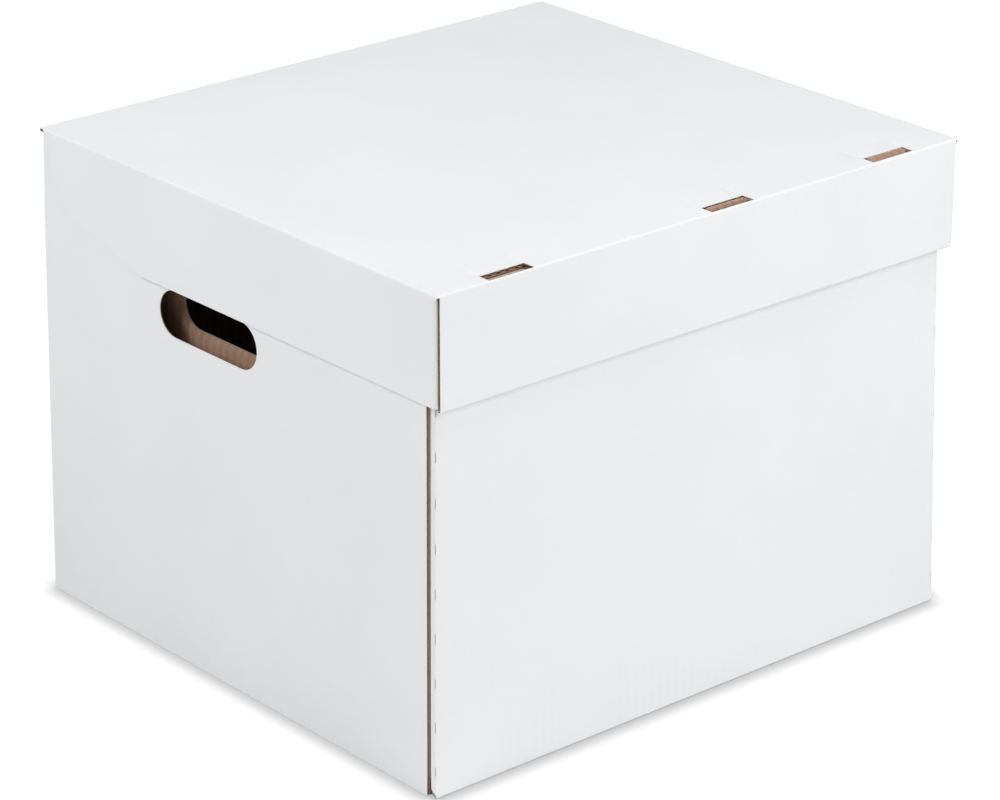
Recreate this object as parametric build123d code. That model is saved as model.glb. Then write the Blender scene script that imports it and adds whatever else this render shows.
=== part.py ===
from build123d import *
import os

# A hinged-lid archive box folded from corrugated board, one solid for each panel, flap or tab
# between creases. Millimetres. The origin is the centre of the underside of the base panel,
# with +X to the right along the front, -Y out of the front and +Z up.

# Driving dimensions
board = 2.8                    # thickness of the corrugated board
crushed_board = 2.2            # board pressed flat where it is trapped in a fold
body_width = 398.0             # over the outer side walls
body_depth = 366.0             # over the front and rear walls
total_height = 304.5           # floor to the top of the closed lid
lid_rest_gap = 0.3             # between the lid and the rails that it closes on

side_wall_spread = 16.2        # outer face of a side wall to the near face of its inner wall
side_wall_setback = 4.4        # front wall face to the cut front edge of a side wall
front_wall_drop = 4.5          # cut top edge of the front wall below the lid's top
rear_crease_drop = 3.8         # top edge of the rear wall below the lid's top

hand_hole_length = 93.0
hand_hole_height = 29.2
hand_hole_below_top = 82.1     # centre of the hole below the lid's top
hand_hole_from_rear = 163.9    # centre of the hole from the rear wall's face

front_flap_length = 120.0
front_flap_bevel = 8.0
base_flap_height = 75.0
base_flap_inset = 14.0
base_flap_bevel = 18.0

inner_wall_clear = 1.5         # inner wall's front edge behind the front wall
lock_tab_width = 46.0
lock_tab_pitch = 170.0
lock_tab_centre = -25.0
lock_slot_clear = 0.3

lid_side_clear = 0.8           # side flap to the side wall it hangs beside
lid_front_clear = 0.7          # rolled front of the lid to the front wall
lid_front_height = 68.5
lid_front_end_gap = 2.3        # each end of the lid's front panel inside the side flap's face
lid_flap_height = 66.0
flap_rear_setback = 9.8        # rear edge of a lid side flap from the rear wall's face
flap_rear_edge = 16.0          # lower end of that straight edge below the lid's top
flap_curve_mid = (18.5, 33.5)  # from the rear, down from the top: midway on the curved cut
flap_curve_end = (43.0, 51.0)  # end of the curved cut
flap_slope_end = 101.0         # from the rear, where the flap reaches its full height
corner_tab_length = 55.0
corner_tab_inset = 4.0

lid_slot_width = 32.5
lid_slot_back = 9.0            # rear edge of a slot behind the lid's front face
lid_slot_rim = 1.2             # board left in front of a slot
lid_slot_centres = (53.0, 221.0, 352.2)   # from the lid's left edge
lid_tab_clear = 1.5            # each end of a lock tab inside its slot
lid_tab_below_top = 0.4

# Worked-out positions
x_side = body_width / 2
x_inside_side = x_side - board
x_inner_near = x_side - side_wall_spread
x_inner_far = x_inner_near - board
y_front = -body_depth / 2
y_rear = body_depth / 2
y_front_in = y_front + board
y_rear_in = y_rear - board
z_lid_under = total_height - board
z_rail = z_lid_under - lid_rest_gap
z_wall = z_rail - board

x_base = x_inside_side - lid_rest_gap - 2 * board
y_side_front = y_front + side_wall_setback

x_lid_right = x_side + lid_side_clear + board
x_lid_left = -x_lid_right
y_inner_back = y_front - lid_front_clear
y_inner_front = y_inner_back - board
y_outer_back = y_inner_front - crushed_board
y_lid_front = y_outer_back - board
z_lid_front_low = total_height - lid_front_height
z_flap_low = total_height - lid_flap_height

hole_y = y_rear - hand_hole_from_rear
hole_z = total_height - hand_hole_below_top


def block(x_from, x_to, y_from, y_to, z_from, z_to):
    """A box between two values on each axis, given in any order."""
    size = (abs(x_to - x_from), abs(y_to - y_from), abs(z_to - z_from))
    centre = ((x_from + x_to) / 2, (y_from + y_to) / 2, (z_from + z_to) / 2)
    return Pos(*centre) * Box(*size)


def side_panel(outline, x_from, x_to):
    """A panel that stands along Y, from a closed outline in (y, z), between two x values."""
    face = Plane.YZ * make_face(outline)
    return Pos(min(x_from, x_to), 0, 0) * extrude(face, amount=abs(x_to - x_from))


def hand_hole(side):
    """The stadium-shaped cutter that passes through both layers of a side wall."""
    profile = Plane.YZ * Pos(hole_y, hole_z) * SlotOverall(hand_hole_length, hand_hole_height)
    cutter = extrude(profile, amount=2 * side_wall_spread + 4 * board, both=True)
    return Pos(side * x_side, 0, 0) * cutter


# The body

def lock_tab_ys():
    return (lock_tab_centre - lock_tab_pitch / 2, lock_tab_centre + lock_tab_pitch / 2)


def base_panel():
    panel = block(-x_base, x_base, y_front_in, y_rear_in, 0, board)
    slot_half = lock_tab_width / 2 + lock_slot_clear
    for side in (-1, 1):
        for y in lock_tab_ys():
            panel -= block(
                side * (x_inner_near + lock_slot_clear), side * (x_inner_far - lock_slot_clear),
                y - slot_half, y + slot_half, -board, 2 * board,
            )
    return panel


def base_flap(side):
    """The wing on each side of the base, folded up inside the hollow side wall."""
    low, high = y_front_in + base_flap_inset, y_rear_in - base_flap_inset
    outline = Polyline(
        (low, 0), (high, 0), (high - base_flap_bevel, base_flap_height),
        (low + base_flap_bevel, base_flap_height), close=True,
    )
    return side_panel(outline, side * x_base, side * (x_base + board))


def front_wall():
    return block(-x_inside_side, x_inside_side, y_front, y_front_in, 0, total_height - front_wall_drop)


def front_flap(side):
    """The wing on each end of the front wall, tucked behind the outer side wall."""
    high = total_height - front_wall_drop - front_flap_bevel
    end = y_front_in + front_flap_length
    outline = Polyline(
        (y_front_in, front_flap_bevel), (end, 3 * front_flap_bevel),
        (end, high - 2 * front_flap_bevel), (y_front_in, high), close=True,
    )
    return side_panel(outline, side * (x_inside_side - board), side * x_inside_side)


def rear_wall():
    return block(-x_side, x_side, y_rear_in, y_rear, 0, total_height - rear_crease_drop)


def outer_side_wall(side):
    """The wing on each end of the rear wall: the outer layer of the side, with its hand hole."""
    wall = block(side * x_inside_side, side * x_side, y_side_front, y_rear_in, 0, z_wall)
    return wall - hand_hole(side)


def cut_reach(distance_up_blank):
    """How far the curved cut between a lid flap and an inner wall stands from the rear wall."""
    rise = (distance_up_blank - flap_curve_end[0]) / (flap_slope_end - flap_curve_end[0])
    if rise >= 1:
        return lid_flap_height
    if rise >= 0:
        return flap_curve_end[1] + rise * (lid_flap_height - flap_curve_end[1])
    middle = (distance_up_blank - flap_curve_mid[0]) / (flap_curve_end[0] - flap_curve_mid[0])
    if middle >= 0:
        return flap_curve_mid[1] + middle * (flap_curve_end[1] - flap_curve_mid[1])
    return flap_rear_edge + distance_up_blank / flap_curve_mid[0] * (flap_curve_mid[1] - flap_rear_edge)


def top_rail(side):
    """The strip that bridges the outer and inner layers of a side wall."""
    outline = Polyline(
        (side * x_side, y_side_front), (side * x_side, y_rear - cut_reach(0)),
        (side * x_inner_far, y_rear - cut_reach(x_side - x_inner_far)),
        (side * x_inner_far, y_side_front), close=True,
    )
    return Pos(0, 0, z_wall) * extrude(make_face(outline), amount=board, dir=(0, 0, 1))


def inner_side_wall(side):
    """The layer rolled over the rail, cut back at the rear along the curve it shares with the lid."""
    rail_width = x_side - x_inner_far
    curve = [
        (y_rear - cut_reach(rail_width), z_wall),
        (y_rear - cut_reach(flap_curve_end[0]), z_wall - flap_curve_end[0] + rail_width),
        (y_rear - lid_flap_height, z_wall - flap_slope_end + rail_width),
    ]
    outline = Polyline(
        (y_front_in + inner_wall_clear, z_wall), *curve,
        (y_rear - lid_flap_height, board), (y_front_in + inner_wall_clear, board), close=True,
    )
    wall = side_panel(outline, side * x_inner_near, side * x_inner_far)
    for y in lock_tab_ys():
        wall += block(
            side * x_inner_near, side * x_inner_far,
            y - lock_tab_width / 2, y + lock_tab_width / 2, lock_slot_clear, board,
        )
    return wall - hand_hole(side)


# The lid

def lid_top_panel():
    panel = block(x_lid_left, x_lid_right, y_lid_front, y_rear, z_lid_under, total_height)
    for centre in lid_slot_centres:
        x = x_lid_left + centre
        panel -= block(
            x - lid_slot_width / 2, x + lid_slot_width / 2,
            y_lid_front + lid_slot_rim, y_lid_front + lid_slot_back, z_wall, total_height + board,
        )
    return panel


def lid_side_flap(x_outer, side):
    """A side flap of the lid, with the curved cut at its rear end."""
    def at(from_rear, below_top):
        return (y_rear - from_rear, total_height - below_top)

    outline = Polyline(
        at(flap_slope_end, lid_flap_height), (y_outer_back, z_flap_low),
        (y_outer_back, z_lid_under), at(flap_rear_setback, board),
        at(flap_rear_setback, flap_rear_edge),
    )
    outline += ThreePointArc(
        at(flap_rear_setback, flap_rear_edge), at(*flap_curve_mid), at(*flap_curve_end)
    )
    outline += Line(at(*flap_curve_end), at(flap_slope_end, lid_flap_height))
    return side_panel(outline, x_outer, x_outer - side * board)


def lid_corner_tab(x_outer, side):
    """The tab on the front end of a side flap, trapped inside the rolled front of the lid."""
    x_root = x_outer - side * board
    x_tip = x_root - side * corner_tab_length
    low, high = z_lid_front_low + board + corner_tab_inset, z_lid_under - corner_tab_inset
    outline = Polyline(
        (x_root, low), (x_root, high), (x_tip, high - 2 * corner_tab_inset),
        (x_tip, low + 2 * corner_tab_inset), close=True,
    )
    face = Plane.XZ * make_face(outline)
    return Pos(0, y_inner_front, 0) * extrude(face, amount=crushed_board)


def lid_front_outer():
    return block(
        x_lid_left + lid_front_end_gap, x_lid_right - lid_front_end_gap,
        y_lid_front, y_outer_back, z_lid_front_low, z_lid_under,
    )


def lid_front_fold():
    return block(
        x_lid_left + board + lid_rest_gap, x_lid_right - board - lid_rest_gap,
        y_outer_back, y_inner_front, z_lid_front_low, z_lid_front_low + board,
    )


def lid_front_inner():
    """The layer rolled up behind the lid's front, with the tabs that lock into the slots."""
    panel = block(
        x_lid_left + board + lid_rest_gap, x_lid_right - board - lid_rest_gap,
        y_inner_front, y_inner_back, z_lid_front_low, z_rail,
    )
    tab_half = lid_slot_width / 2 - lid_tab_clear
    for centre in lid_slot_centres:
        x = x_lid_left + centre
        panel += block(
            x - tab_half, x + tab_half, y_inner_front, y_inner_back,
            z_rail, total_height - lid_tab_below_top,
        )
    return panel


parts = {
    "base_panel": base_panel(),
    "front_wall": front_wall(),
    "rear_wall": rear_wall(),
    "lid_top_panel": lid_top_panel(),
    "lid_front_outer": lid_front_outer(),
    "lid_front_fold": lid_front_fold(),
    "lid_front_inner": lid_front_inner(),
}
for word, side, x_lid in (("left", -1, x_lid_left), ("right", 1, x_lid_right)):
    parts[word + "_base_flap"] = base_flap(side)
    parts[word + "_front_flap"] = front_flap(side)
    parts[word + "_outer_wall"] = outer_side_wall(side)
    parts[word + "_top_rail"] = top_rail(side)
    parts[word + "_inner_wall"] = inner_side_wall(side)
    parts["lid_" + word + "_flap"] = lid_side_flap(x_lid, side)
    parts["lid_" + word + "_corner_tab"] = lid_corner_tab(x_lid, side)

os.makedirs("parts", exist_ok=True)
for name, shape in parts.items():
    export_step(shape, "parts/" + name + ".step")
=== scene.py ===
import math

import bmesh
import bpy
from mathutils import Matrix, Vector


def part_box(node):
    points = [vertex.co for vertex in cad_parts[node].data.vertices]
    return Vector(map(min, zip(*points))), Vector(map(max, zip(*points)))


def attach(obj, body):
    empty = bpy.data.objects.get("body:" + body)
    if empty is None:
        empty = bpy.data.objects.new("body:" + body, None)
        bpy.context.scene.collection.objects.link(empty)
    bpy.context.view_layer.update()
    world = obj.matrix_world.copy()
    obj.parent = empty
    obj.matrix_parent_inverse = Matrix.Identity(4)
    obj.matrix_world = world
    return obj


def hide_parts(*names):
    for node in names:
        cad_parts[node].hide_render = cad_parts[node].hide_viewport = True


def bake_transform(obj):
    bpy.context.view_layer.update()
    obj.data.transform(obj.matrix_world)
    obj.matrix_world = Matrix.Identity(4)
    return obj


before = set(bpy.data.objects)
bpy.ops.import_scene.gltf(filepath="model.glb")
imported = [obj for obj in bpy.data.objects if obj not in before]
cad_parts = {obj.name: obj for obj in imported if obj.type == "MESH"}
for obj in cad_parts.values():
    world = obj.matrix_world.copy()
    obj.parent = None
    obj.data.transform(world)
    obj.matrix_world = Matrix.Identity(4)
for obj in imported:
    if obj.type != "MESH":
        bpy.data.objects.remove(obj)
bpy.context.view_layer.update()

# The looks of a folded archive box. Every panel of corrugated board is built from two paper
# liners with a fluted sheet between them, on the plane that the CAD node gives. Metres.

MM = 0.001
SAME = 1e-7                    # places closer than this are the same place
BARELY = 1e-6                  # an inset that moves nothing, for a panel with no creases

# The board
LINER = 0.35 * MM              # thickness of each paper liner
MEDIUM = 0.36 * MM             # thickness of the fluted sheet
MEDIUM_CLEAR = 0.04 * MM       # gap between the fluted sheet and each liner
MEDIUM_SHORT = 0.02 * MM       # the fluted sheet stops this far inside a cut edge
SHORTEST_SPAN = 0.5 * MM       # no flute is shorter than this
FLUTE_PITCH = 6.5 * MM
FLUTE_STEPS = 10               # segments along one flute
FOLD_RADIUS = 1.3 * MM         # outer radius of a crease
FOLD_STEPS = 5                 # segments round a crease
PAST_FOLD = 1.4                # the last cut beside a crease, in crease radii
CELL = 30 * MM                 # largest cell of a flat face, so that a panel can bow
SHARP = math.radians(28)       # edges that turn by more than this are sharp

# Die-cut features that the frame's boxes don't give
HOLE_LENGTH = 93 * MM
HOLE_HEIGHT = 29.2 * MM
HOLE_BELOW_TOP = 82.1 * MM
HOLE_FROM_REAR = 163.9 * MM
# The lid's lock slots: centre from the left, width, rim left at the front, depth to the back
SLOTS = (
    (53.9 * MM, 32.5 * MM, 0.8 * MM, 9.6 * MM),
    (220.7 * MM, 33.0 * MM, 1.2 * MM, 10.8 * MM),
    (351.6 * MM, 33.0 * MM, 2.0 * MM, 11.0 * MM),
)
SLOT_CREASE_WIDTH = 1 * MM     # a pressed line runs back from each rear corner of a slot
SLOT_CREASE_START = 0.3 * MM
SLOT_CREASE_END = 17 * MM
SLOT_CREASE_DEPTH = 0.15 * MM
# The tabs in the slots: drop below the lid's top, tilt to the back
TABS = ((2.5 * MM, 0.4 * MM), (0.1 * MM, 0.9 * MM), (-0.2 * MM, 2.0 * MM))
TAB_CLEAR = 1.5 * MM           # at each side of a tab
TAB_SLOPE = 0.6 * MM           # a tab is narrower at its top by this much on each side
TAB_BEND_SHORT = 0.05 * MM     # a tab bends at least this far below its top
CAP_DROP = 0.15 * MM           # the crushed top of a tab lies this far below the liners' edges,
CAP_WAVE = 0.12 * MM           # give or take this much
CRUSH = 4 * MM                 # how far in the board is crushed by the cut of a hand hole
CRUSH_GAP = 0.1 * MM
# Dashed cuts beside the creases: in from the edge, first, pitch, length, count, depth
LID_DASHES = (3.6 * MM, 17 * MM, 28.2 * MM, 6.6 * MM, 11, 0.8 * MM)
WALL_DASHES = (0.9 * MM, 14.2 * MM, 27.1 * MM, 6.4 * MM, 10, 1.2 * MM)
DASH_WIDTH = 0.6 * MM
SLIT_TAPER = 0.8 * MM          # over which a slit reaches its full depth
# The lid's side flaps. Points of the curve are forward from the rear and below the top
FLAP_REAR_SETBACK = 9.8 * MM
FLAP_REAR_EDGE = 16 * MM       # below the top, where the curve starts
FLAP_CURVE_MID = (18.5 * MM, 33.5 * MM)
FLAP_CURVE_END = (43 * MM, 51 * MM)
FLAP_CURVE_STEPS = 18
FLAP_SLOPE_END = 101 * MM      # where the slope after the curve meets the lower edge
FLAP_NICKS = (115.4 * MM, 335.6 * MM)  # bumps left on the lower edge, from the rear
NICK_SHAPE = ((-1.6 * MM, 0), (-0.8 * MM, 0.6 * MM), (0.8 * MM, 0.6 * MM), (1.6 * MM, 0))
FLAP_FRONT_BULGE = 0.9 * MM    # how far the front end stands forward of the frame's
FLAP_FOLD_RADIUS = 2 * MM
FLAP_SKIRT = 0.25 * MM
LID_CORNER_CUT = (2.2 * MM, 0.4 * MM)  # where the lid's front and side creases stop short
LID_CORNER_TIP = 0.2 * MM      # the blunt tip left between them
LID_REAR_CUT = 0.3 * MM
LID_CREASE_SETBACK = 4.5 * MM  # where the flap's edge starts at its crease, from the rear
FLAP_CREASE_END = (7 * MM, 12 * MM)  # and slants forward between these depths
LID_END_RISE = 2.1 * MM        # how far the raw ends of the lid's front show above it
LID_END_INSET = 0.1 * MM       # and how far in they lie
LID_END_TIP = 0.6 * MM         # further in at their tops
TURN_SHORT = 4 * MM            # the turned-in part of the lid's front is this much shorter
TUCK_TAPER = 8 * MM            # of the lid's corner tabs
SIDE_EDGE_BACK = 0.6 * MM      # the side walls' front edges stop short of the frame's
CORNER_CUT = (2.1 * MM, 4.3 * MM)  # off the front wall's bottom corners, across and up
CREASE_CUT_UP = 6.3 * MM       # and where the crease's far side ends
FLAP_CUT_UP = 10 * MM          # and where the wing beyond it starts behind the side wall
WING_TAPER = 16 * MM           # of the front wall's wings
WING_CUTS = 4                  # where they bend on their way to the corner
BASE_WING_BEVEL = 18 * MM
BASE_EAR = 13 * MM             # ears that close the hollow walls' ends, along and out
BASE_EAR_OUT = 5.5 * MM
LOCK_TAB_CENTRES = (-110 * MM, 60 * MM)
LOCK_TAB_WIDTH = 46 * MM
LOCK_SLOT_CLEAR = 0.3 * MM
HINGE_PROUD = 0.02 * MM        # the hinge crease stands out from the wall by this much
HINGE_GROOVE = 0.12 * MM       # and is pressed in along its middle
HINGE_CELLS = (60, 10)         # across and up

# How a used box settles: its walls lean out towards the floor
LEAN_SIDE = 4.1 * MM
LEAN_SIDE_MORE = 0.5 * MM      # added to that at the front and taken off at the rear
LEAN_REAR = 3.0 * MM
LEAN_FRONT = 5.3 * MM          # of the front wall
LEAN_FRONT_CURVE = 1.4         # it grows faster than the distance from the top
LEAN_SIDE_FRONT = 3.4 * MM     # of the side walls' front edges
CORNER_OUT = (3.1 * MM, 0.1 * MM)  # further spread of the front wall's left and right corners
CORNER_TOP_OUT = 0.1 * MM      # and at their tops
REAR_TOP_IN = 0.8 * MM         # the rear wall is narrower at the top
REAR_TOP_SHARE = 5             # over the top fifth of the height
BOW = 0.6 * MM
BOW_EDGE = 7                   # an odd power, high enough to bow only the side walls
LID_TAPER = 1.8 * MM           # the lid is narrower at its hinge by this much on each side

FACINGS = {
    "-x": (Vector((0, -1, 0)), Vector((0, 0, 1))),
    "+x": (Vector((0, 1, 0)), Vector((0, 0, 1))),
    "-y": (Vector((1, 0, 0)), Vector((0, 0, 1))),
    "+y": (Vector((-1, 0, 0)), Vector((0, 0, 1))),
    "+z": (Vector((1, 0, 0)), Vector((0, 1, 0))),
    "-z": (Vector((1, 0, 0)), Vector((0, -1, 0))),
}


def clamp(x, low, high):
    return max(low, min(high, x))


def rectangle(u0, u1, v0, v1):
    return [(u0, v0), (u1, v0), (u1, v1), (u0, v1)]


class Plane:
    """The plane of a node's white face: u to the right and v up, seen from its white side."""

    def __init__(self, node, facing):
        low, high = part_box(node)
        self.u, self.v = FACINGS[facing]
        self.n = self.u.cross(self.v)
        self.u0, self.u1 = sorted((self.u.dot(low), self.u.dot(high)))
        self.v0, self.v1 = sorted((self.v.dot(low), self.v.dot(high)))
        self.face = max(self.n.dot(low), self.n.dot(high))
        self.thickness = abs(self.n.dot(high - low))

    def point(self, u, v, depth):
        return self.u * u + self.v * v + self.n * (self.face - depth)


def arc(centre, radius, start, end, steps):
    """Points of an arc, angles in degrees."""
    angles = [math.radians(start + (end - start) * i / steps) for i in range(steps + 1)]
    return [(centre[0] + radius * math.cos(a), centre[1] + radius * math.sin(a)) for a in angles]


def arc_through(a, b, c, steps):
    """Points of the arc from a through b to c."""
    (ax, ay), (bx, by), (cx, cy) = a, b, c
    d = 2 * (ax * (by - cy) + bx * (cy - ay) + cx * (ay - by))
    sa, sb, sc = ax * ax + ay * ay, bx * bx + by * by, cx * cx + cy * cy
    ox = (sa * (by - cy) + sb * (cy - ay) + sc * (ay - by)) / d
    oy = (sa * (cx - bx) + sb * (ax - cx) + sc * (bx - ax)) / d
    start, end = math.atan2(ay - oy, ax - ox), math.atan2(cy - oy, cx - ox)
    turn = (end - start + math.pi) % (2 * math.pi) - math.pi
    radius = math.hypot(ax - ox, ay - oy)
    angles = [start + turn * i / steps for i in range(steps + 1)]
    return [(ox + radius * math.cos(angle), oy + radius * math.sin(angle)) for angle in angles]


def stadium(centre, length, height, steps=16):
    """A slot with round ends, long along u."""
    radius = height / 2
    half = length / 2 - radius
    return (
        arc((centre[0] + half, centre[1]), radius, -90, 90, steps)
        + arc((centre[0] - half, centre[1]), radius, 90, 270, steps)
    )


def with_mirror(points):
    """The points, then their mirror images about u = 0, which close the outline."""
    return points + [(-u, v) for u, v in reversed(points)]


def even_cuts(low, high, step):
    """Places that divide a length evenly, no further apart than the step."""
    count = max(1, math.ceil((high - low) / step))
    return [low + (high - low) * i / count for i in range(1, count)]


def cut_across(bm, u, v, normal, clear=False):
    """Cuts the flat mesh along a line, and drops what lies in front of it if clear is set."""
    bmesh.ops.bisect_plane(
        bm, geom=bm.verts[:] + bm.edges[:] + bm.faces[:], dist=SAME,
        plane_co=(u, v, 0), plane_no=normal, clear_outer=clear,
    )


class Sheet:
    """Collects one piece's vertices and faces, each face with its material number."""

    def __init__(self):
        self.vertices, self.faces, self.materials = [], [], []

    def add(self, points, faces, material):
        base = len(self.vertices)
        self.vertices += points
        self.faces += [[base + i for i in face] for face in faces]
        self.materials += material if isinstance(material, list) else [material] * len(faces)


def new_object(name, data):
    """A new object in the scene."""
    made = bpy.data.objects.new(name, data)
    bpy.context.scene.collection.objects.link(made)
    return made


WHITE, EDGE_WHITE, KRAFT, FLUTE = range(4)     # the order of board_materials


class Board:
    """One panel of corrugated board.

    flutes: the direction that they run in, u or v.
    folded: the sides that turn into a crease, among left, right, bottom and top.
    slits: grooves pressed or cut into the white face, as (u0, u1, v0, v1, depth).
    cuts: further places along u at which the panel can bend.
    radius, skirt: a crease's outer radius, and how far the white face goes down beyond it.
    rims: lines round the holes, out to which the board is crushed.
    phase: where along u or v a flute crosses the board's middle.
    bend: above this v the board is tabs, with their top edges crushed shut.
    rise: how much higher a side crease's skirt starts, where the bottom corners are cut off.
    plugs: how far the board's raw ends show above its top edge, inside the crease there.
    """

    def __init__(
        self, plane, outline=None, holes=(), flutes="v", folded=(), slits=(), cuts=(),
        radius=FOLD_RADIUS, skirt=None, rims=(), phase=0.0, bend=None, rise=0.0, plugs=0.0,
    ):
        self.plane = plane
        self.outline = outline or rectangle(plane.u0, plane.u1, plane.v0, plane.v1)
        self.holes, self.rims = list(holes), list(rims)
        self.flutes, self.phase = flutes, phase
        self.folded, self.slits, self.cuts = folded, slits, cuts
        self.radius = radius
        self.skirt = plane.thickness - radius if skirt is None else skirt
        self.bend, self.rise, self.plugs = bend, rise, plugs

    def skirted(self):
        """The outline, with each folded side drawn out by what goes down beside the crease."""
        p, extra = self.plane, self.skirt
        grown = {
            "left": (0, p.u0, -extra), "right": (0, p.u1, extra),
            "bottom": (1, p.v0, -extra), "top": (1, p.v1, extra),
        }
        points = []
        for a, b in zip(self.outline, self.outline[1:] + self.outline[:1]):
            points.append(a)
            for side in self.folded:
                axis, place, reach = grown[side]
                if abs(a[axis] - place) < SAME and abs(b[axis] - place) < SAME:
                    for end in (a, b):
                        moved = list(end)
                        moved[axis] += reach
                        if axis == 0 and abs(end[1] - p.v0 - CORNER_CUT[1]) < SAME:
                            moved[1] += self.rise
                        points.append(tuple(moved))
        return points

    def flat_mesh(self, inset):
        """The outline, less its holes, as a flat mesh with the cuts that the shape needs.

        With no inset it is the white face. Otherwise it is the inner face, whose folded sides
        stop short by the inset, and which a hole's edge crushes up towards the white face."""
        bm = bmesh.new()
        crushed = self.rims if inset else []
        rings = []
        for loop in [self.outline if inset else self.skirted(), *(crushed or self.holes)]:
            ring = [bm.verts.new((u, v, 0)) for u, v in loop]
            rings.append(ring)
            for a, b in zip(ring, ring[1:] + ring[:1]):
                bm.edges.new((a, b))
        bmesh.ops.triangle_fill(bm, use_beauty=True, use_dissolve=False, edges=bm.edges[:])
        for rim, hole in zip(rings[1:], self.holes if crushed else []):
            lift = self.plane.thickness - 2 * LINER - CRUSH_GAP
            inner = [bm.verts.new((u, v, lift)) for u, v in hole]
            for i in range(len(rim)):
                bm.faces.new((rim[i - 1], rim[i], inner[i], inner[i - 1]))
        p = self.plane
        for u in even_cuts(p.u0, p.u1, CELL):
            cut_across(bm, u, 0, (1, 0, 0))
        for v in even_cuts(p.v0, p.v1, CELL):
            cut_across(bm, 0, v, (0, 1, 0))
        for u in self.cuts:
            cut_across(bm, u, 0, (1, 0, 0))
        if self.bend:
            cut_across(bm, 0, self.bend, (0, 1, 0))
        sides = {
            "left": (p.u0, 1, (1, 0, 0)), "right": (p.u1, -1, (1, 0, 0)),
            "bottom": (p.v0, 1, (0, 1, 0)), "top": (p.v1, -1, (0, 1, 0)),
        }
        for side in self.folded:
            place, inward, normal = sides[side]
            if inset:
                line = place + inward * inset
                cut_across(bm, line, line, tuple(-inward * x for x in normal), clear=True)
            else:
                turns = [math.pi / 2 * i / FOLD_STEPS for i in range(FOLD_STEPS + 1)]
                distances = [self.radius * (1 - math.cos(turn)) for turn in turns]
                for distance in [*distances, self.radius * PAST_FOLD]:
                    line = place + inward * distance
                    cut_across(bm, line, line, normal)
        if not inset:
            for u0, u1, v0, v1, _ in self.slits:
                for u in slit_lines(u0, u1):
                    cut_across(bm, u, 0, (1, 0, 0))
                for v in slit_lines(v0, v1):
                    cut_across(bm, 0, v, (0, 1, 0))
        bmesh.ops.recalc_face_normals(bm, faces=bm.faces[:])
        for face in bm.faces:
            if face.normal.z < 0:
                face.normal_flip()
        return bm

    def outer_point(self, u, v):
        """Where a point of the flat mesh goes on the white face, and the normal there."""
        p, r = self.plane, self.radius
        down = max(0.0, p.u0 - u, u - p.u1, p.v0 - v, v - p.v1)
        centre_u, centre_v = u, v
        if "left" in self.folded:
            centre_u = max(u, p.u0 + r)
        if "right" in self.folded:
            centre_u = min(centre_u, p.u1 - r)
        if "bottom" in self.folded:
            centre_v = max(v, p.v0 + r)
        if "top" in self.folded:
            centre_v = min(centre_v, p.v1 - r)
        a, b = u - centre_u, v - centre_v
        reach = math.hypot(a, b)
        if reach > r:
            a, b, reach = a * r / reach, b * r / reach, r
        rise = math.sqrt(max(0.0, r * r - reach * reach))
        depth = r - rise + down + sum(slit_depth(s, u, v) for s in self.slits)
        return centre_u + a, centre_v + b, depth, (a / r, b / r, rise / r)

    def skin(self, sheet, inset, top, bottom, rim):
        """One paper liner with its cut edges: the white one if there is no inset."""
        bm = self.flat_mesh(inset)
        bm.verts.index_update()
        point, inner_depth = self.plane.point, self.plane.thickness - LINER
        upper, lower = [], []
        for vertex in bm.verts:
            u, v = vertex.co.x, vertex.co.y
            if inset:
                upper.append(point(u, v, inner_depth - vertex.co.z))
                lower.append(point(u, v, inner_depth - vertex.co.z + LINER))
            else:
                u, v, fall, (nu, nv, nn) = self.outer_point(u, v)
                upper.append(point(u, v, fall))
                lower.append(point(u - LINER * nu, v - LINER * nv, fall + LINER * nn))
        count = len(upper)
        faces, materials = [], []
        for face in bm.faces:
            ring = [vertex.index for vertex in face.verts]
            faces += [ring, [count + i for i in reversed(ring)]]
            materials += [top, bottom]
        for edge in bm.edges:
            if len(edge.link_faces) == 1:
                loop = next(l for l in edge.link_faces[0].loops if l.edge == edge)
                a, b = loop.vert.index, loop.link_loop_next.vert.index
                faces.append([b, a, count + a, count + b])
                materials.append(rim)
        bm.free()
        sheet.add(upper + lower, faces, materials)

    def spans(self, s):
        """Where the board runs along its flutes at the place s across them."""
        across = 0 if self.flutes == "v" else 1
        crossings = []
        for loop in [self.outline, *(self.rims or self.holes)]:
            for a, b in zip(loop, loop[1:] + loop[:1]):
                sa, sb = a[across], b[across]
                if (sa <= s) != (sb <= s):
                    share = (s - sa) / (sb - sa)
                    crossings.append(a[1 - across] + share * (b[1 - across] - a[1 - across]))
        crossings.sort()
        return list(zip(crossings[::2], crossings[1::2]))

    def medium(self, sheet):
        """The fluted sheet between the liners."""
        p = self.plane
        across_range = [p.u0, p.u1] if self.flutes == "v" else [p.v0, p.v1]
        along_range = [p.v0, p.v1] if self.flutes == "v" else [p.u0, p.u1]
        ends = (("left", "right"), ("bottom", "top"))
        across_ends, along_ends = ends if self.flutes == "v" else ends[::-1]
        for limits, names in ((across_range, across_ends), (along_range, along_ends)):
            limits[0] += self.radius if names[0] in self.folded else MEDIUM_SHORT
            limits[1] -= self.radius if names[1] in self.folded else MEDIUM_SHORT
        places = even_cuts(*across_range, FLUTE_PITCH / FLUTE_STEPS)
        runs, current = [], []
        for s in [across_range[0], *places, across_range[1]]:
            spans = []
            for low, high in self.spans(s):
                low, high = max(low, along_range[0]), min(high, along_range[1])
                if high - low > SHORTEST_SPAN:
                    spans.append((low, high))
            if current and len(spans) != len(current[-1][1]):
                runs.append(current)
                current = []
            if spans:
                current.append((s, spans))
        if current:
            runs.append(current)
        for run in runs:
            if len(run) > 1:
                for k in range(len(run[0][1])):
                    self.ribbon(sheet, [(s, spans[k]) for s, spans in run])

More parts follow.
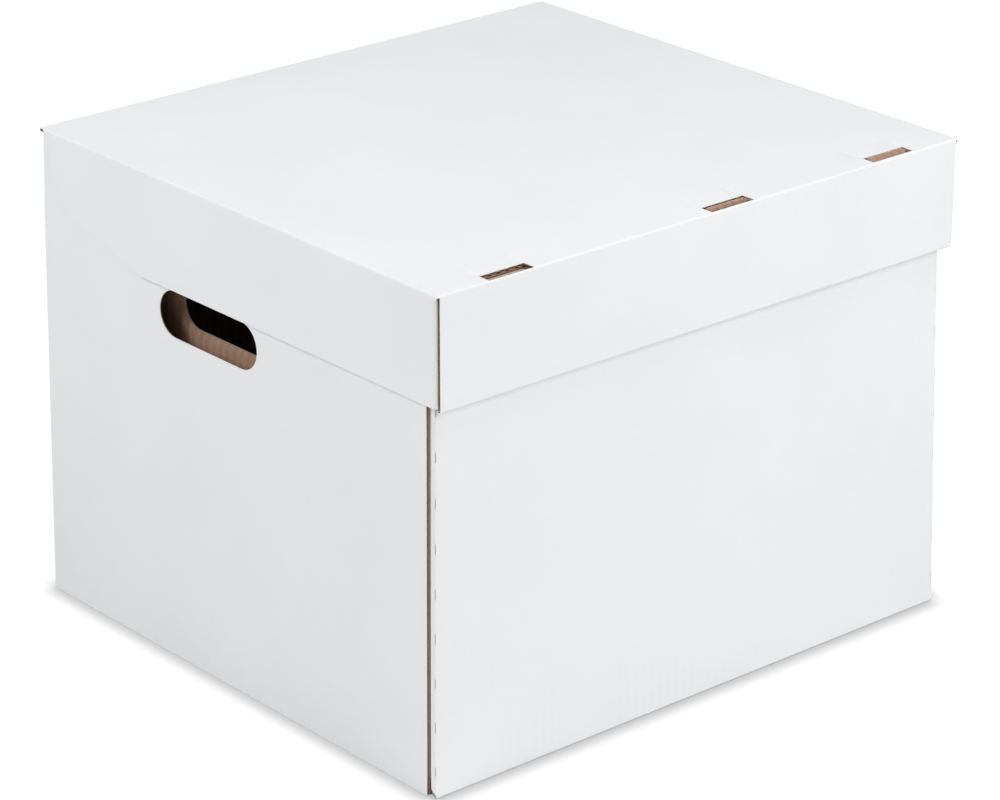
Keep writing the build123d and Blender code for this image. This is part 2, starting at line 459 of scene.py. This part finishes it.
    def row_places(self, low, high, rows):
        """The ends of a flute's rows, evenly spaced. On tabs the last row is all above the bend."""
        if not self.bend:
            return [low + (high - low) * k / rows for k in range(rows + 1)]
        bend = min(self.bend, high - TAB_BEND_SHORT)
        return [low + (bend - low) * k / (rows - 1) for k in range(rows)] + [high]

    def ribbon(self, sheet, run):
        """One stretch of the fluted sheet, from (place across, (low, high) along) pairs."""
        middle = self.plane.thickness / 2
        swing = middle - LINER - MEDIUM / 2 - MEDIUM_CLEAR
        rows = math.ceil(max(high - low for _, (low, high) in run) / CELL)
        if self.bend:
            rows += 1
            self.cap(sheet, run)
        points, faces = [], []
        for s, (low, high) in run:
            wave = middle + swing * math.sin(2 * math.pi * (s - self.phase) / FLUTE_PITCH)
            for along in self.row_places(low, high, rows):
                u, v = (s, along) if self.flutes == "v" else (along, s)
                points.append(self.plane.point(u, v, wave - MEDIUM / 2))
                points.append(self.plane.point(u, v, wave + MEDIUM / 2))
        column = 2 * (rows + 1)
        for i in range(len(run) - 1):
            for k in range(rows):
                a = column * i + 2 * k
                b = a + column
                faces += [[a, b, b + 2, a + 2], [a + 1, a + 3, b + 3, b + 1]]
            for a, turned in ((column * i, False), (column * i + 2 * rows, True)):
                end = [a, a + 1, a + column + 1, a + column]
                faces.append(end[::-1] if turned else end)
        for first, turned in ((0, False), (column * (len(run) - 1), True)):
            for k in range(rows):
                a = first + 2 * k
                end = [a, a + 2, a + 3, a + 1]
                faces.append(end[::-1] if turned else end)
        if self.flutes == "u":
            faces = [face[::-1] for face in faces]
        sheet.add(points, faces, FLUTE)

    def cap(self, sheet, run):
        """The crushed top edge: paper that closes the flutes, a little below the liners' edges."""
        points, faces = [], []
        for i, (s, (_, high)) in enumerate(run):
            top = high - (CAP_DROP + CAP_WAVE * math.sin(2 * math.pi * s / FLUTE_PITCH))
            points.append(self.plane.point(s, top, LINER))
            points.append(self.plane.point(s, top, self.plane.thickness - LINER))
            if i:
                faces.append([2 * i - 2, 2 * i - 1, 2 * i + 1, 2 * i])
        sheet.add(points, faces, FLUTE)

    def plug(self, sheet):
        """The raw end of the board inside the crease above it, at its left and right ends."""
        p = self.plane
        for end, turn in ((p.u0 + LID_END_INSET, 1), (p.u1 - LID_END_INSET, -1)):
            rows = [(p.v1, LID_END_INSET), (p.v1 + self.plugs, LID_END_TIP)]
            points = [p.point(end, v, depth) for v, painted_shadow_occlusion in rows for depth in (painted_shadow_occlusion, p.thickness)]
            sheet.add(points, [[0, 1, 3, 2][::turn]], KRAFT)

    def build(self, name, body, nodes, settle=None):
        """Makes the piece. settle moves each point to where it is on a used box."""
        sheet = Sheet()
        self.skin(sheet, 0, WHITE, KRAFT, EDGE_WHITE)
        self.skin(sheet, self.radius if self.folded else BARELY, KRAFT, KRAFT, KRAFT)
        self.medium(sheet)
        if self.plugs:
            self.plug(sheet)
        mesh = bpy.data.meshes.new(name)
        points = [settle(p) for p in sheet.vertices] if settle else sheet.vertices
        mesh.from_pydata(points, [], sheet.faces)
        mesh.polygons.foreach_set("material_index", sheet.materials)
        mesh.polygons.foreach_set("use_smooth", [True] * len(mesh.polygons))
        mesh.set_sharp_from_angle(angle=SHARP)
        mesh.update()
        piece = new_object(name, mesh)
        direction = self.plane.u if self.flutes == "v" else self.plane.v
        across = "x" if abs(direction.x) else "y" if abs(direction.y) else "z"
        for material in board_materials(across):
            piece.data.materials.append(material)
        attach(piece, body)
        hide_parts(*nodes)


def slit_lines(low, high):
    """The cuts that a slit needs across one of its directions."""
    if high - low > 4 * SLIT_TAPER:
        return [low, low + SLIT_TAPER, high - SLIT_TAPER, high]
    return [low, (low + high) / 2, high]


def slit_share(x, low, high):
    """How much of a slit's depth is reached at x, 0 to 1."""
    if not low < x < high:
        return 0.0
    if high - low > 4 * SLIT_TAPER:
        return min(1.0, (x - low) / SLIT_TAPER, (high - x) / SLIT_TAPER)
    return 1 - abs(2 * x - low - high) / (high - low)


def slit_depth(slit, u, v):
    """How deep the white face is pressed in at a point."""
    u0, u1, v0, v1, depth = slit
    return depth * min(slit_share(u, u0, u1), slit_share(v, v0, v1))


# Materials

def node_tree(name):
    material = bpy.data.materials.new(name)
    material.use_nodes = True
    tree = material.node_tree
    return material, tree, tree.nodes["Principled BSDF"]


def noise(tree, vector, scale, detail=2.0, roughness=0.5):
    node = tree.nodes.new("ShaderNodeTexNoise")
    node.inputs["Scale"].default_value = scale
    node.inputs["Detail"].default_value = detail
    node.inputs["Roughness"].default_value = roughness
    tree.links.new(vector, node.inputs["Vector"])
    return node.outputs["Fac"]


def ramp(tree, fac, stops):
    node = tree.nodes.new("ShaderNodeValToRGB")
    elements = node.color_ramp.elements
    while len(elements) < len(stops):
        elements.new(0.5)
    for element, (position, colour) in zip(elements, stops):
        element.position = position
        element.color = (*colour, 1)
    tree.links.new(fac, node.inputs["Fac"])
    return node.outputs["Color"]


def calc(tree, operation, a, b):
    node = tree.nodes.new("ShaderNodeMath")
    node.operation = operation
    for value, socket in zip((a, b), node.inputs):
        if isinstance(value, (int, float)):
            socket.default_value = value
        else:
            tree.links.new(value, socket)
    return node.outputs["Value"]


def weighted(tree, a, share_a, b, share_b):
    """The sum of two values, each times its share."""
    return calc(tree, "ADD", calc(tree, "MULTIPLY", a, share_a), calc(tree, "MULTIPLY", b, share_b))


def bump(tree, height, distance, strength=1.0, previous=None):
    node = tree.nodes.new("ShaderNodeBump")
    node.inputs["Distance"].default_value = distance
    node.inputs["Strength"].default_value = strength
    tree.links.new(height, node.inputs["Height"])
    if previous:
        tree.links.new(previous, node.inputs["Normal"])
    return node.outputs["Normal"]


def object_space(tree, stretch=(1, 1, 1)):
    coordinates = tree.nodes.new("ShaderNodeTexCoord")
    mapping = tree.nodes.new("ShaderNodeMapping")
    mapping.inputs["Scale"].default_value = stretch
    tree.links.new(coordinates.outputs["Object"], mapping.inputs["Vector"])
    return mapping.outputs["Vector"]


def washboard(tree, across):
    """The flutes show through the liner as a faint wave across them, 0 to 1."""
    wave = tree.nodes.new("ShaderNodeTexWave")
    wave.wave_type = "BANDS"
    wave.bands_direction = across.upper()
    wave.wave_profile = "SIN"
    wave.inputs["Scale"].default_value = math.pi / (10 * FLUTE_PITCH)
    wave.inputs["Distortion"].default_value = 0.4
    wave.inputs["Detail"].default_value = 1.0
    wave.inputs["Detail Scale"].default_value = 0.6
    tree.links.new(object_space(tree), wave.inputs["Vector"])
    return wave.outputs["Fac"]


def white_liner(across):
    material, tree, shader = node_tree("white_liner_" + across)
    space = object_space(tree)
    cloud = noise(tree, space, scale=14, detail=3)
    fibre = noise(tree, space, scale=900, detail=4, roughness=0.65)
    mixed = weighted(tree, cloud, 0.6, fibre, 0.4)
    colour = ramp(tree, mixed, [(0.3, (0.80, 0.81, 0.82)), (0.7, (0.84, 0.85, 0.855))])
    tree.links.new(colour, shader.inputs["Base Color"])
    rough = calc(tree, "ADD", calc(tree, "MULTIPLY", fibre, 0.2), 0.55)
    tree.links.new(rough, shader.inputs["Roughness"])
    shader.inputs["Specular IOR Level"].default_value = 0.12
    waves = bump(tree, washboard(tree, across), distance=0.02 * MM)
    grain = bump(tree, fibre, distance=0.05 * MM, strength=0.5, previous=waves)
    tree.links.new(grain, shader.inputs["Normal"])
    return material


def edge_white():
    material, tree, shader = node_tree("cut_white_liner")
    fibre = noise(tree, object_space(tree), scale=1500, detail=3)
    colour = ramp(tree, fibre, [(0.3, (0.74, 0.72, 0.70)), (0.6, (0.86, 0.86, 0.86))])
    tree.links.new(colour, shader.inputs["Base Color"])
    shader.inputs["Roughness"].default_value = 0.8
    return material


def kraft_liner(across):
    material, tree, shader = node_tree("kraft_liner_" + across)
    stretch = {"x": (1, 0.2, 0.2), "y": (0.2, 1, 0.2), "z": (0.2, 0.2, 1)}[across]
    fibre = noise(tree, object_space(tree, stretch), scale=1300, detail=5, roughness=0.7)
    cloud = noise(tree, object_space(tree), scale=35, detail=3)
    mixed = weighted(tree, fibre, 0.6, cloud, 0.4)
    # Darker streaks along the flutes: painted shade of the flute relief, on top of its bump
    painted_flute_shade = calc(tree, "MULTIPLY", washboard(tree, across), 0.10)
    grain_and_painted_flute_shade = calc(tree, "SUBTRACT", mixed, painted_flute_shade)
    colour = ramp(
        tree, grain_and_painted_flute_shade,
        [(0.25, (0.30, 0.175, 0.115)), (0.5, (0.45, 0.285, 0.20)), (0.72, (0.56, 0.38, 0.275))],
    )
    tree.links.new(colour, shader.inputs["Base Color"])
    shader.inputs["Roughness"].default_value = 0.85
    shader.inputs["Specular IOR Level"].default_value = 0.25
    waves = bump(tree, washboard(tree, across), distance=0.15 * MM)
    grain = bump(tree, fibre, distance=0.08 * MM, strength=0.6, previous=waves)
    tree.links.new(grain, shader.inputs["Normal"])
    return material


def fluting():
    material, tree, shader = node_tree("fluting_medium")
    fibre = noise(tree, object_space(tree), scale=1100, detail=4, roughness=0.65)
    colour = ramp(tree, fibre, [(0.3, (0.38, 0.235, 0.16)), (0.65, (0.60, 0.41, 0.29))])
    tree.links.new(colour, shader.inputs["Base Color"])
    shader.inputs["Roughness"].default_value = 0.9
    grain = bump(tree, fibre, distance=0.08 * MM, strength=0.6)
    tree.links.new(grain, shader.inputs["Normal"])
    return material


MADE = {}


def board_materials(across):
    """The four materials of a panel whose flutes lie side by side along the axis across."""
    for key, maker in (("edge", edge_white), ("flute", fluting)):
        MADE[key] = MADE.get(key) or maker()
    for key, maker in (("white", white_liner), ("kraft", kraft_liner)):
        MADE[key + across] = MADE.get(key + across) or maker(across)
    return MADE["white" + across], MADE["edge"], MADE["kraft" + across], MADE["flute"]


# Shape of the settled box

LID_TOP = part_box("lid_top_panel")[1].z
BODY_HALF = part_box("right_outer_wall")[1].x
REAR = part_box("rear_wall")[1].y
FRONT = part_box("front_wall")[0].y
FLAP_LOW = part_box("lid_left_flap")[0].z
SIDE_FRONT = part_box("left_outer_wall")[0].y
FRONT_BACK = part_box("front_wall")[1].y


def settle_body(p, corner=0.0, front=None):
    """The walls lean out towards the floor and bow between their creases.

    corner goes from 0 at the side walls' front edges to 1 at the front wall, for the spread of the
    front corners. front is the same for the lean of the front, and is corner if not given."""
    front = corner if front is None else front
    down = 1 - p.z / LID_TOP
    side = p.x / BODY_HALF
    aft = clamp(p.y / REAR, -1.0, 1.0)
    swell = BOW * math.sin(math.pi * max(0.0, 1 - p.z / FLAP_LOW)) ** 2
    edge = clamp(side, -1.0, 1.0) ** BOW_EDGE
    x = p.x + side * down * (LEAN_SIDE - aft * LEAN_SIDE_MORE)
    x += edge * swell * math.cos(math.pi / 2 * aft) ** 2
    x += side * corner * (CORNER_TOP_OUT + down * CORNER_OUT[0 if side < 0 else 1])
    x -= side * max(0.0, aft) * max(0.0, 1 - down * REAR_TOP_SHARE) * REAR_TOP_IN
    if aft > 0:
        y = p.y + aft * down * LEAN_REAR
    else:
        lean = (1 - front) * down * LEAN_SIDE_FRONT + front * down ** LEAN_FRONT_CURVE * LEAN_FRONT
        y = p.y + aft * lean
    y += corner * aft * swell * math.cos(math.pi / 2 * side) ** 2
    return Vector((x, y, p.z))


def settle_front(p):
    return settle_body(p, 1.0)


def settle_flap(p):
    """A wing of the front wall comes out from behind the side wall to the front corner."""
    return settle_body(p, clamp((SIDE_FRONT - p.y) / (SIDE_FRONT - FRONT_BACK), 0.0, 1.0))


def settle_base(p):
    """The base follows the front wall's foot, but not the spread of its corners."""
    return settle_body(p, 0.0, clamp(p.y / FRONT, 0.0, 1.0))


def settle_lid(p):
    """The lid narrows towards its hinge, so its side flaps lean out from their creases."""
    aft = (p.y - FRONT) / (REAR - FRONT)
    up = clamp((p.z - FLAP_LOW) / (LID_TOP - FLAP_LOW), 0.0, 1.0)
    return Vector((p.x - p.x / BODY_HALF * max(0.0, aft) * up * LID_TAPER, p.y, p.z))


# The pieces

def hole_outline(plane, grown=0.0):
    """The hand hole on a side wall's plane."""
    centre = (plane.u.y * (REAR - HOLE_FROM_REAR), LID_TOP - HOLE_BELOW_TOP)
    return stadium(centre, HOLE_LENGTH + 2 * grown, HOLE_HEIGHT + 2 * grown)


def crease_slits(plane, dashes):
    """Dashed rows of cuts along v, beside a panel's left and right creases."""
    aside, first, pitch, length, count, depth = dashes
    slits = []
    for u in (plane.u0 + aside, plane.u1 - aside):
        for i in range(count):
            start = plane.v0 + first + i * pitch
            slits.append((u - DASH_WIDTH / 2, u + DASH_WIDTH / 2, start, start + length, depth))
    return slits


def lid_top():
    plane = Plane("lid_top_panel", "+z")
    holes = []
    slits = []
    for centre, width, rim, back in SLOTS:
        u0 = plane.u0 + centre - width / 2
        u1 = u0 + width
        v1 = plane.v0 + back
        holes.append(rectangle(u0, u1, plane.v0 + rim, v1))
        for u in (u0, u1):
            slits.append((
                u - SLOT_CREASE_WIDTH / 2, u + SLOT_CREASE_WIDTH / 2,
                v1 + SLOT_CREASE_START, v1 + SLOT_CREASE_END, SLOT_CREASE_DEPTH,
            ))
    slits += crease_slits(plane, LID_DASHES)
    side, front = LID_CORNER_CUT
    rear_cut = plane.v1 - LID_CREASE_SETBACK
    half = [
        (plane.u1 - side, plane.v0), (plane.u1 - LID_CORNER_TIP, plane.v0 + LID_CORNER_TIP),
        (plane.u1, plane.v0 + front), (plane.u1, rear_cut),
        (plane.u1 - LID_REAR_CUT, rear_cut + LID_REAR_CUT), (plane.u1 - LID_REAR_CUT, plane.v1),
    ]
    board = Board(
        plane, with_mirror(half), holes=holes, slits=slits,
        folded=("left", "right", "bottom", "top"),
    )
    board.build("lid_top", "lid", ["lid_top_panel"], settle_lid)


def lid_flap(side):
    """A side flap. Its front end rounds into the corner tab, so it stands a little forward."""
    node = f"lid_{side}_flap"
    plane = Plane(node, "-x" if side == "left" else "+x")
    sense = plane.u.y                     # -1 on the left flap, whose u runs to the front
    rear_more = FLAP_REAR_SETBACK - LID_CREASE_SETBACK
    if side == "left":
        plane.u0, plane.u1 = plane.u0 - rear_more, plane.u1 + FLAP_FRONT_BULGE
    else:
        plane.u0, plane.u1 = plane.u0 - FLAP_FRONT_BULGE, plane.u1 + rear_more
    front_u = plane.u1 if side == "left" else plane.u0
    rear_u = sense * REAR
    full = LID_TOP - plane.v0

    def at(from_rear, below_top):
        return (rear_u - sense * from_rear, LID_TOP - below_top)

    outline = arc_through(
        at(FLAP_REAR_SETBACK, FLAP_REAR_EDGE), at(*FLAP_CURVE_MID), at(*FLAP_CURVE_END),
        FLAP_CURVE_STEPS,
    )
    outline.append(at(FLAP_SLOPE_END, full))
    for place in FLAP_NICKS:
        outline += [at(place + aside, full + below) for aside, below in NICK_SHAPE]
    outline += [
        (front_u, plane.v0), (front_u, plane.v1), at(LID_CREASE_SETBACK, LID_TOP - plane.v1),
        at(LID_CREASE_SETBACK, FLAP_CREASE_END[0]), at(FLAP_REAR_SETBACK, FLAP_CREASE_END[1]),
    ]
    if side == "right":
        outline.reverse()
    board = Board(
        plane, outline, flutes="u", folded=("right",) if side == "left" else ("left",),
        radius=FLAP_FOLD_RADIUS, skirt=FLAP_SKIRT,
    )
    board.build(f"lid_{side}_side", "lid", [node], settle_lid)


def lid_corner_tab(side):
    """A tab on a side flap's front end. It tapers away from the corner."""
    node = f"lid_{side}_corner_tab"
    plane = Plane(node, "-y")
    at_left, at_right = (0, TUCK_TAPER) if side == "left" else (TUCK_TAPER, 0)
    outline = [
        (plane.u0, plane.v0 + at_left), (plane.u1, plane.v0 + at_right),
        (plane.u1, plane.v1 - at_right), (plane.u0, plane.v1 - at_left),
    ]
    Board(plane, outline, flutes="u").build(f"lid_{side}_tuck", "lid", [node])


def lid_front():
    """The rolled front: its outer face, the turn at its foot and the lining with the lock tabs."""
    outer = Board(Plane("lid_front_outer", "-y"), folded=("bottom",), plugs=LID_END_RISE)
    outer.build("lid_front", "lid", ["lid_front_outer"])
    turn = Plane("lid_front_fold", "-z")
    turn.u0, turn.u1 = turn.u0 + TURN_SHORT, turn.u1 - TURN_SHORT
    Board(turn).build("lid_front_turn", "lid", ["lid_front_fold"])
    plane = Plane("lid_front_inner", "+y")
    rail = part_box("left_top_rail")[1].z
    outline = [
        (plane.u0, plane.v0 + 2 * TURN_SHORT), (plane.u0 + TURN_SHORT, plane.v0),
        (plane.u1 - TURN_SHORT, plane.v0), (plane.u1, plane.v0 + 2 * TURN_SHORT), (plane.u1, rail),
    ]
    left_edge = -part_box("lid_top_panel")[0].x
    tilts = []
    for (centre, width, _, _), (drop, tilt) in zip(SLOTS, TABS):
        u = left_edge - centre
        half = width / 2 - TAB_CLEAR
        top = LID_TOP - drop
        outline += [
            (u + half, rail), (u + half - TAB_SLOPE, top),
            (u - half + TAB_SLOPE, top), (u - half, rail),
        ]
        tilts.append((-u, tilt))
    outline.append((plane.u0, rail))

    def tip_back(p):
        tilt = min(tilts, key=lambda pair: abs(p.x - pair[0]))[1]
        return Vector((p.x, p.y + tilt * max(0.0, p.z - rail) / (LID_TOP - rail), p.z))

    board = Board(plane, outline, folded=("bottom",), bend=rail)
    board.build("lid_front_lining", "lid", ["lid_front_inner"], tip_back)


def side_wall(side):
    node = f"{side}_outer_wall"
    plane = Plane(node, "-x" if side == "left" else "+x")
    if side == "left":
        plane.u1 -= SIDE_EDGE_BACK
        edge = plane.u1
    else:
        plane.u0 += SIDE_EDGE_BACK
        edge = plane.u0
    board = Board(
        plane, holes=[hole_outline(plane)], rims=[hole_outline(plane, CRUSH)],
        phase=edge - FLUTE_PITCH / 4,
    )
    board.build(f"{side}_side", "box", [node], settle_body)


def side_lining(side):
    """The inner layer of a side wall. It hangs from the rail, with two tabs in the base."""
    node = f"{side}_inner_wall"
    plane = Plane(node, "+x" if side == "left" else "-x")
    sense = plane.u.y
    front_u, rear_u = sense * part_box(node)[0].y, sense * REAR
    top, low = plane.v1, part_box("base_panel")[1].z
    rail_low, rail_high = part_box(f"{side}_top_rail")
    rail_width = rail_high.x - rail_low.x
    reach = LID_TOP - FLAP_LOW
    outline = [
        (front_u, top),
        (sense * rail_rear(side)[1], top),
        (rear_u - sense * FLAP_CURVE_END[1], top - FLAP_CURVE_END[0] + rail_width),
        (rear_u - sense * reach, top - FLAP_SLOPE_END + rail_width),
        (rear_u - sense * reach, low),
    ]
    for y in sorted(LOCK_TAB_CENTRES, reverse=True):
        for edge in (LOCK_TAB_WIDTH / 2, -LOCK_TAB_WIDTH / 2):
            pair = [(sense * (y + edge), low), (sense * (y + edge), plane.v0)]
            outline += pair if edge > 0 else pair[::-1]
    outline.append((front_u, low))
    if side == "left":
        outline.reverse()
    board = Board(
        plane, outline, holes=[hole_outline(plane)], rims=[hole_outline(plane, CRUSH)],
    )
    board.build(f"{side}_lining", "box", [node], settle_body)


def rail_rear(side):
    """Where the rail ends at the rear, at its outer and inner edges."""
    low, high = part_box(f"{side}_top_rail")
    width = high.x - low.x
    share = (width - FLAP_CURVE_MID[0]) / (FLAP_CURVE_END[0] - FLAP_CURVE_MID[0])
    return high.y, REAR - FLAP_CURVE_MID[1] - share * (FLAP_CURVE_END[1] - FLAP_CURVE_MID[1])


def top_rail(side):
    """The strip that bridges a side wall's two layers. Its rear end is cut on a slant."""
    node = f"{side}_top_rail"
    plane = Plane(node, "+z")
    at_wall, at_lining = rail_rear(side)
    left_rear, right_rear = (at_wall, at_lining) if side == "left" else (at_lining, at_wall)
    outline = [
        (plane.u0, plane.v0), (plane.u1, plane.v0), (plane.u1, right_rear), (plane.u0, left_rear),
    ]
    board = Board(plane, outline, flutes="u", folded=("left", "right"))
    board.build(f"{side}_rail", "box", [node], settle_body)


def front_wall():
    plane = Plane("front_wall", "-y")
    across, up = CORNER_CUT
    outline = [
        (plane.u0 + across, plane.v0), (plane.u1 - across, plane.v0), (plane.u1, plane.v0 + up),
        (plane.u1, plane.v1), (plane.u0, plane.v1), (plane.u0, plane.v0 + up),
    ]
    board = Board(
        plane, outline, folded=("left", "right", "bottom"),
        slits=crease_slits(plane, WALL_DASHES), rise=CREASE_CUT_UP - up,
    )
    board.build("front", "box", ["front_wall"], settle_front)


def rear_wall():
    board = Board(Plane("rear_wall", "+y"), folded=("left", "right", "bottom", "top"))
    board.build("rear", "box", ["rear_wall"], settle_body)


def base():
    """The floor of the box, with the slots for the linings' tabs."""
    plane = Plane("base_panel", "-z")
    holes = []
    half = LOCK_TAB_WIDTH / 2 + LOCK_SLOT_CLEAR
    for side in ("left", "right"):
        low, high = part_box(f"{side}_inner_wall")
        for y in LOCK_TAB_CENTRES:
            left, right = low.x + LOCK_SLOT_CLEAR, high.x - LOCK_SLOT_CLEAR
            holes.append(rectangle(left, right, -y - half, -y + half))
    side, end, ear = plane.u1, plane.v1, plane.v1 - BASE_EAR
    quarter = [(side, ear), (side + BASE_EAR_OUT, ear), (side + BASE_EAR_OUT, end)]
    outline = with_mirror([(u, -v) for u, v in reversed(quarter)] + quarter)
    plane.u0, plane.u1 = plane.u0 - BASE_EAR_OUT, plane.u1 + BASE_EAR_OUT
    board = Board(plane, outline, holes=holes)
    board.build("base", "box", ["base_panel"], settle_base)


def front_flap(side):
    """A wing of the front wall, with its bottom cut back where it leaves the corner."""
    node = f"{side}_front_flap"
    plane = Plane(node, "-x" if side == "left" else "+x")
    sense = plane.u.y
    front_u, wall_u, rear_u = sense * FRONT_BACK, sense * SIDE_FRONT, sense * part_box(node)[1].y
    outline = [
        (front_u, CREASE_CUT_UP), (front_u, plane.v1), (rear_u, plane.v1 - WING_TAPER),
        (rear_u, plane.v0 + WING_TAPER), (wall_u, FLAP_CUT_UP),
    ]
    if side == "right":
        outline.reverse()
    cuts = [front_u + (wall_u - front_u) * i / WING_CUTS for i in range(1, WING_CUTS + 1)]
    board = Board(plane, outline, cuts=cuts)
    board.build(f"{side}_front_tuck", "box", [node], settle_flap)


def base_flap(side):
    """A wing of the base, folded up inside a hollow side wall."""
    node = f"{side}_base_flap"
    plane = Plane(node, "-x" if side == "left" else "+x")
    outline = [
        (plane.u0, plane.v0), (plane.u1, plane.v0),
        (plane.u1 - BASE_WING_BEVEL, plane.v1), (plane.u0 + BASE_WING_BEVEL, plane.v1),
    ]
    board = Board(plane, outline, flutes="u")
    board.build(f"{side}_base_tuck", "box", [node], settle_body)


def hinge_crease():
    """The outer liner where the rear wall turns into the lid."""
    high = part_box("rear_wall")[1]
    half = high.x - FOLD_RADIUS
    bottom, top = high.z - FOLD_RADIUS, LID_TOP - FOLD_RADIUS
    columns, rows = HINGE_CELLS
    points, faces = [], []
    for depth in (-HINGE_PROUD, LINER):
        for i in range(columns + 1):
            for j in range(rows + 1):
                z = bottom + (top - bottom) * j / rows
                groove = HINGE_GROOVE * math.sin(math.pi * j / rows)
                p = Vector((-half + 2 * half * i / columns, REAR - depth - groove, z))
                points.append(settle_body(p))
    wide = rows + 1
    layer = wide * (columns + 1)
    for i in range(columns):
        for j in range(rows):
            a = i * wide + j
            faces.append([a, a + 1, a + wide + 1, a + wide])
            faces.append([layer + a, layer + a + wide, layer + a + wide + 1, layer + a + 1])
    for i in range(columns):
        for j in (0, rows):
            a = i * wide + j
            ring = [a, a + wide, layer + a + wide, layer + a]
            faces.append(ring if j == 0 else ring[::-1])
    mesh = bpy.data.meshes.new("hinge_crease")
    mesh.from_pydata(points, [], faces)
    mesh.polygons.foreach_set("use_smooth", [True] * len(mesh.polygons))
    mesh.update()
    strip = new_object("hinge_crease", mesh)
    mesh.materials.append(board_materials("x")[0])
    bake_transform(strip)


lid_top()
lid_front()
front_wall()
rear_wall()
base()
hinge_crease()
for side in ("left", "right"):
    lid_flap(side)
    lid_corner_tab(side)
    side_wall(side)
    side_lining(side)
    top_rail(side)
    front_flap(side)
    base_flap(side)


# Floor, light and camera

FLOOR_HALF = 6.0
FLOOR_DROP = 0.15 * MM
FLOOR_ALBEDO = 0.8
# How far from the box the floor's painted contact shadow reaches
PAINTED_SHADOW_REACH = 15 * MM        # how far from the box the floor darkens
# The floor's painted contact shadow, as the glow that the camera sees: openness to the sky, painted
# shade
PAINTED_SHADOW_SHADES = ((0.04, 0.01), (0.12, 0.35), (0.2, 0.5), (0.45, 0.53), (0.7, 0.73), (1.0, 1.05))
SKY = 0.337
LIGHTS = [                     # name, place, target, size, power
    ("light_front", (0.9, -2.2, 1.5), (0, 0, 0.15), 1.2, 33.9),
    ("light_left", (-2.0, 0.4, 1.7), (0, 0, 0.2), 1.2, 28.4),
    ("light_top", (0.1, -0.7, 2.4), (0, 0, 0.3), 1.4, 14.4),
]
CAMERA_AZIMUTH = math.radians(-40.74)
CAMERA_ELEVATION = math.radians(22.47)
CAMERA_DISTANCE = 2.519
CAMERA_ASIDE = 5.3 * MM
CAMERA_RAISED = 120.5 * MM
LENS = 144.5
SENSOR_WIDTH = 36


def camera_sees(tree, seen, otherwise, output):
    """Wires one shader to the output for what the camera sees, and another for all other light."""
    path = tree.nodes.new("ShaderNodeLightPath")
    mix = tree.nodes.new("ShaderNodeMixShader")
    tree.links.new(path.outputs["Is Camera Ray"], mix.inputs["Fac"])
    tree.links.new(otherwise, mix.inputs[1])
    tree.links.new(seen, mix.inputs[2])
    tree.links.new(mix.outputs["Shader"], tree.nodes[output].inputs["Surface"])


def floor():
    """A pale floor that the camera sees as plain white, with a painted contact shadow close to the
    box.
    """
    mesh = bpy.data.meshes.new("floor")
    corners = rectangle(-FLOOR_HALF, FLOOR_HALF, -FLOOR_HALF, FLOOR_HALF)
    mesh.from_pydata([(x, y, 0) for x, y in corners], [], [[0, 1, 2, 3]])
    plane = new_object("floor", mesh)
    plane.location.z = -FLOOR_DROP
    material, tree, shader = node_tree("floor")
    shader.inputs["Base Color"].default_value = (FLOOR_ALBEDO, FLOOR_ALBEDO, FLOOR_ALBEDO, 1)
    shader.inputs["Roughness"].default_value = 0.9
    shader.inputs["Specular IOR Level"].default_value = 0.1
    # The camera sees the floor as a glow that is darker where the box blocks the sky: a painted
    # contact shadow
    painted_shadow_occlusion = tree.nodes.new("ShaderNodeAmbientOcclusion")
    painted_shadow_occlusion.samples = 16
    painted_shadow_occlusion.inputs["Distance"].default_value = PAINTED_SHADOW_REACH
    stops = [(open_share, (shade, shade, shade)) for open_share, shade in PAINTED_SHADOW_SHADES]
    floor_white_and_painted_shadow = ramp(tree, painted_shadow_occlusion.outputs["AO"], stops)
    emission = tree.nodes.new("ShaderNodeEmission")
    tree.links.new(floor_white_and_painted_shadow, emission.inputs["Color"])
    camera_sees(tree, emission.outputs["Emission"], shader.outputs["BSDF"], "Material Output")
    mesh.materials.append(material)


def area_light(name, place, target, size, power):
    light = bpy.data.lights.new(name, "AREA")
    light.shape = "SQUARE"
    light.size = size
    light.energy = power
    lamp = new_object(name, light)
    lamp.location = place
    lamp.rotation_euler = (Vector(target) - Vector(place)).to_track_quat("-Z", "Y").to_euler()


def lights():
    """A dim even sky and three soft lamps. The camera sees the sky as white."""
    world = bpy.data.worlds.new("studio")
    world.use_nodes = True
    tree = world.node_tree
    sky = tree.nodes["Background"]
    sky.inputs["Color"].default_value = (1, 1, 1, 1)
    sky.inputs["Strength"].default_value = SKY
    backdrop = tree.nodes.new("ShaderNodeBackground")
    backdrop.inputs["Color"].default_value = (1, 1, 1, 1)
    camera_sees(tree, backdrop.outputs["Background"], sky.outputs["Background"], "World Output")
    bpy.context.scene.world = world
    for lamp in LIGHTS:
        area_light(*lamp)


def camera():
    """The camera that took the photograph, as fitted to the box's edges."""
    data = bpy.data.cameras.new("camera")
    data.sensor_width = SENSOR_WIDTH
    data.lens = LENS
    viewer = new_object("camera", data)
    back = Vector((
        math.sin(CAMERA_AZIMUTH) * math.cos(CAMERA_ELEVATION),
        -math.cos(CAMERA_AZIMUTH) * math.cos(CAMERA_ELEVATION),
        math.sin(CAMERA_ELEVATION),
    ))
    right = Vector((0, 0, 1)).cross(back).normalized()
    up = back.cross(right)
    viewer.location = back * CAMERA_DISTANCE + right * CAMERA_ASIDE + up * CAMERA_RAISED
    viewer.rotation_mode = "QUATERNION"
    viewer.rotation_quaternion = back.to_track_quat("Z", "Y")
    bpy.context.scene.camera = viewer


floor()
lights()
camera()
bpy.context.scene.view_settings.view_transform = "Standard"
